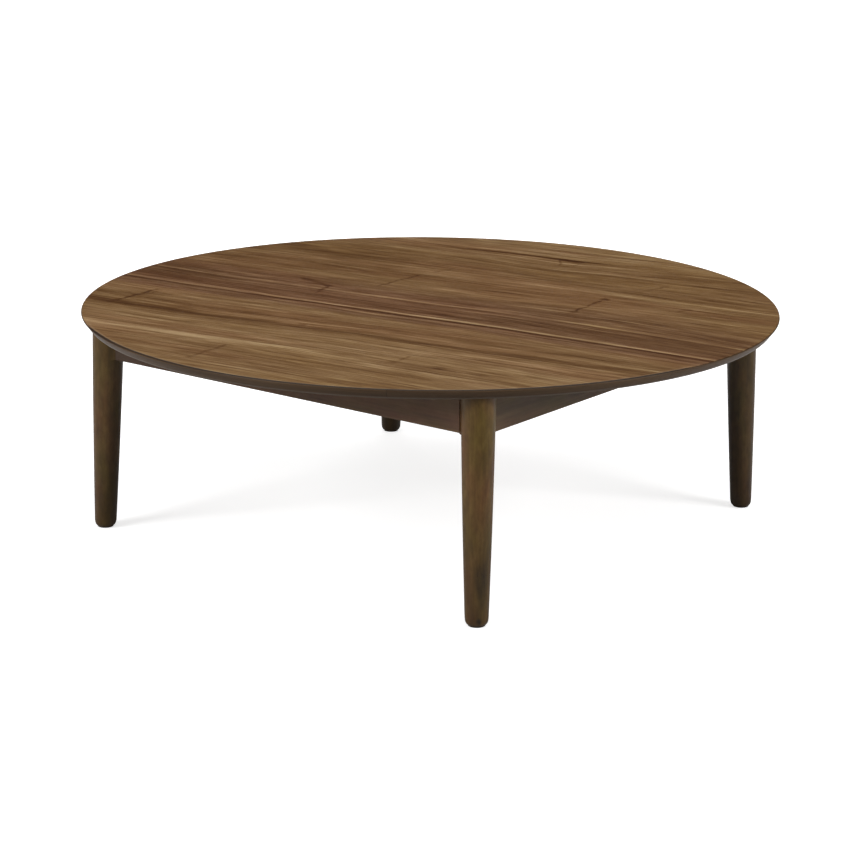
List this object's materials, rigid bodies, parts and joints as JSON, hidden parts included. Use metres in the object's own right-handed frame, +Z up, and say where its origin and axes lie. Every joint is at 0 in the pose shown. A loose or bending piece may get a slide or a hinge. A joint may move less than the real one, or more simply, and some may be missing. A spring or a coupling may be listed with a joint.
{
  "type": "folding low table",
  "caption": "Round low table with a veneered top, bevelled edge, straight aprons and four tapered round legs that fold inward on hidden steel hinges.",
  "frame": {"origin": "centre of the table on the floor", "axes": "+Z up, +X towards the right apron, -Y towards the front apron"},
  "size_m": [1.1, 1.1, 0.353],
  "materials": {
    "walnut_veneer": "satin lacquered walnut veneer, open straight grain",
    "core_plywood": "plywood",
    "stained_edge": "dark walnut stain, satin lacquer",
    "backing_veneer": "plain sliced veneer, sealed",
    "stained_wood": "dark walnut stain on fine-grained hardwood, satin lacquer",
    "block_wood": "plain hardwood, unfinished",
    "bracket_steel": "black powder coat",
    "zinc_steel": "zinc plated",
    "bumper_rubber": "matt",
    "washer_nylon": "nylon",
    "pad_felt": "pressed felt"
  },
  "bodies": {
    "table_top": {"top_veneer": "walnut_veneer", "top_core": "core_plywood", "edge_lipping": "stained_edge", "backing_veneer": "backing_veneer", "front_apron": "stained_wood", "front_apron_blocks": "block_wood", "front_block_screws": "zinc_steel", "right_apron": "stained_wood", "right_apron_blocks": "block_wood", "right_block_screws": "zinc_steel", "rear_apron": "stained_wood", "rear_apron_blocks": "block_wood", "rear_block_screws": "zinc_steel", "left_apron": "stained_wood", "left_apron_blocks": "block_wood", "left_block_screws": "zinc_steel", "front_left_hinge_bracket": "bracket_steel", "front_left_bracket_screws": "zinc_steel", "front_left_leg_bumper": "bumper_rubber", "front_right_hinge_bracket": "bracket_steel", "front_right_bracket_screws": "zinc_steel", "front_right_leg_bumper": "bumper_rubber", "rear_right_hinge_bracket": "bracket_steel", "rear_right_bracket_screws": "zinc_steel", "rear_right_leg_bumper": "bumper_rubber", "rear_left_hinge_bracket": "bracket_steel", "rear_left_bracket_screws": "zinc_steel", "rear_left_leg_bumper": "bumper_rubber"},
    "front_left_leg": {"front_left_leg": "stained_wood", "front_left_pivot_bolt": "zinc_steel", "front_left_pivot_nut": "zinc_steel", "front_left_pivot_washers": "washer_nylon", "front_left_foot_pad": "pad_felt"},
    "front_right_leg": {"front_right_leg": "stained_wood", "front_right_pivot_bolt": "zinc_steel", "front_right_pivot_nut": "zinc_steel", "front_right_pivot_washers": "washer_nylon", "front_right_foot_pad": "pad_felt"},
    "rear_right_leg": {"rear_right_leg": "stained_wood", "rear_right_pivot_bolt": "zinc_steel", "rear_right_pivot_nut": "zinc_steel", "rear_right_pivot_washers": "washer_nylon", "rear_right_foot_pad": "pad_felt"},
    "rear_left_leg": {"rear_left_leg": "stained_wood", "rear_left_pivot_bolt": "zinc_steel", "rear_left_pivot_nut": "zinc_steel", "rear_left_pivot_washers": "washer_nylon", "rear_left_foot_pad": "pad_felt"}
  },
  "joints": [
    {"name": "front_left_leg_fold", "type": "hinge", "parent": "table_top", "child": "front_left_leg", "pos_m": [-0.35051, -0.35051, 0.318], "axis": [0.7071, -0.7071, 0], "range_deg": [0, 92.2]},
    {"name": "front_right_leg_fold", "type": "hinge", "parent": "table_top", "child": "front_right_leg", "pos_m": [0.35051, -0.35051, 0.318], "axis": [0.7071, 0.7071, 0], "range_deg": [0, 92.2]},
    {"name": "rear_right_leg_fold", "type": "hinge", "parent": "table_top", "child": "rear_right_leg", "pos_m": [0.35051, 0.35051, 0.318], "axis": [-0.7071, 0.7071, 0], "range_deg": [0, 92.2]},
    {"name": "rear_left_leg_fold", "type": "hinge", "parent": "table_top", "child": "rear_left_leg", "pos_m": [-0.35051, 0.35051, 0.318], "axis": [-0.7071, -0.7071, 0], "range_deg": [0, 92.2]}
  ]
}
